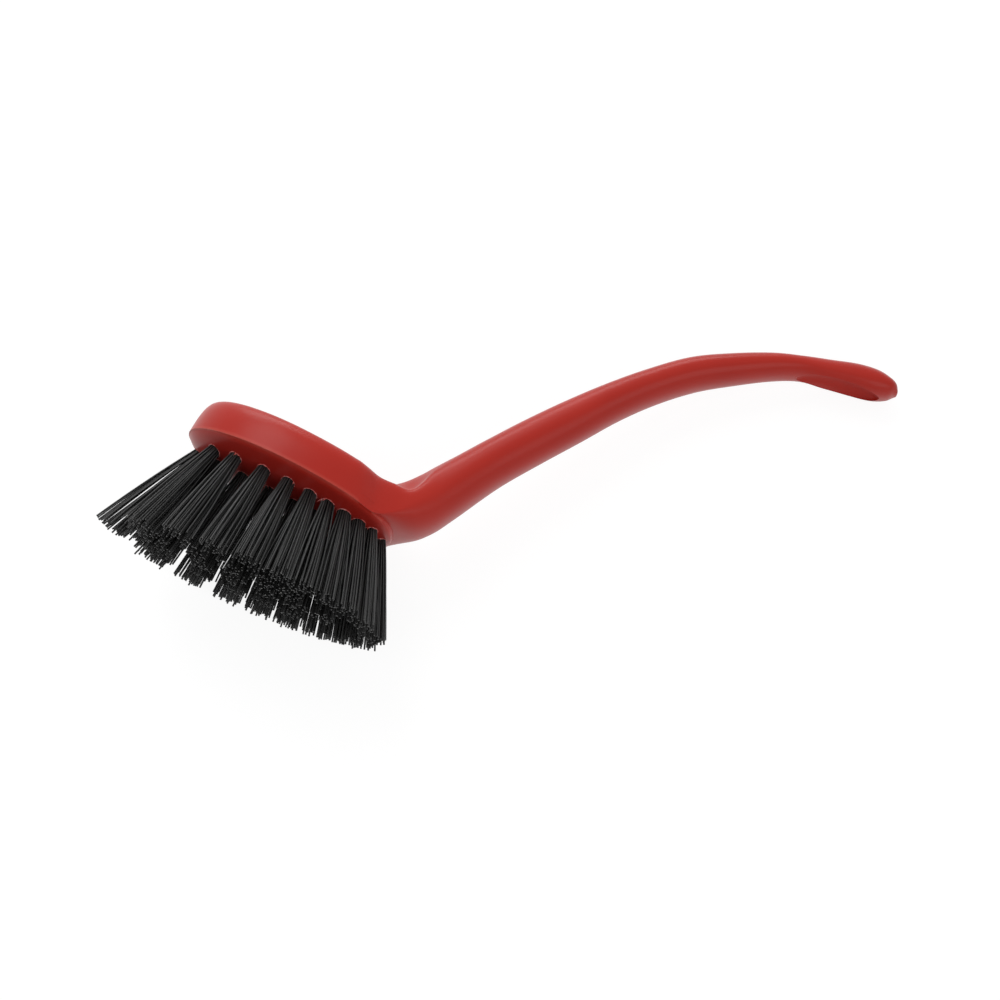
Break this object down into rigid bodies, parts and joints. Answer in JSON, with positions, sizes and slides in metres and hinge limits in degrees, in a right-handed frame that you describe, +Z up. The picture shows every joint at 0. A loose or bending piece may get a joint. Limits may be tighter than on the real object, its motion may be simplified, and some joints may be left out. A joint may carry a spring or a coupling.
{
  "type": "chain cleaning brush",
  "caption": "Long-handled hand brush with an oval head of splayed stiff black bristle tufts and a curved one-piece red handle, for scrubbing drive chains.",
  "frame": {"origin": "middle of the bounding box on the table plane, with the brush lying on its side", "axes": "+X along the brush's long side from the bristle end to the handle's tip, +Y towards the flat back of the head, +Z up from the table"},
  "size_m": [0.2664, 0.1004, 0.0622],
  "materials": {
    "body_plastic": "satin moulded red plastic",
    "bristle": "stiff black filament, slightly glossy",
    "anchor_steel": "flat steel strip"
  },
  "bodies": {
    "root": {"anchor_inner_01": "anchor_steel", "anchor_inner_02": "anchor_steel", "anchor_inner_03": "anchor_steel", "anchor_inner_04": "anchor_steel", "anchor_inner_05": "anchor_steel", "anchor_inner_06": "anchor_steel", "anchor_inner_07": "anchor_steel", "anchor_inner_08": "anchor_steel", "anchor_inner_09": "anchor_steel", "anchor_outer_01": "anchor_steel", "anchor_outer_02": "anchor_steel", "anchor_outer_03": "anchor_steel", "anchor_outer_04": "anchor_steel", "anchor_outer_05": "anchor_steel", "anchor_outer_06": "anchor_steel", "anchor_outer_07": "anchor_steel", "anchor_outer_08": "anchor_steel", "anchor_outer_09": "anchor_steel", "anchor_outer_10": "anchor_steel", "anchor_outer_11": "anchor_steel", "anchor_outer_12": "anchor_steel", "anchor_outer_13": "anchor_steel", "anchor_outer_14": "anchor_steel", "anchor_outer_15": "anchor_steel", "anchor_outer_16": "anchor_steel", "anchor_outer_17": "anchor_steel", "anchor_outer_18": "anchor_steel", "anchor_outer_19": "anchor_steel", "anchor_outer_20": "anchor_steel", "brush_body": "body_plastic", "tuft_inner_01": "bristle", "tuft_inner_02": "bristle", "tuft_inner_03": "bristle", "tuft_inner_04": "bristle", "tuft_inner_05": "bristle", "tuft_inner_06": "bristle", "tuft_inner_07": "bristle", "tuft_inner_08": "bristle", "tuft_inner_09": "bristle", "tuft_outer_01": "bristle", "tuft_outer_02": "bristle", "tuft_outer_03": "bristle", "tuft_outer_04": "bristle", "tuft_outer_05": "bristle", "tuft_outer_06": "bristle", "tuft_outer_07": "bristle", "tuft_outer_08": "bristle", "tuft_outer_09": "bristle", "tuft_outer_10": "bristle", "tuft_outer_11": "bristle", "tuft_outer_12": "bristle", "tuft_outer_13": "bristle", "tuft_outer_14": "bristle", "tuft_outer_15": "bristle", "tuft_outer_16": "bristle", "tuft_outer_17": "bristle", "tuft_outer_18": "bristle", "tuft_outer_19": "bristle", "tuft_outer_20": "bristle"}
  },
  "joints": []
}
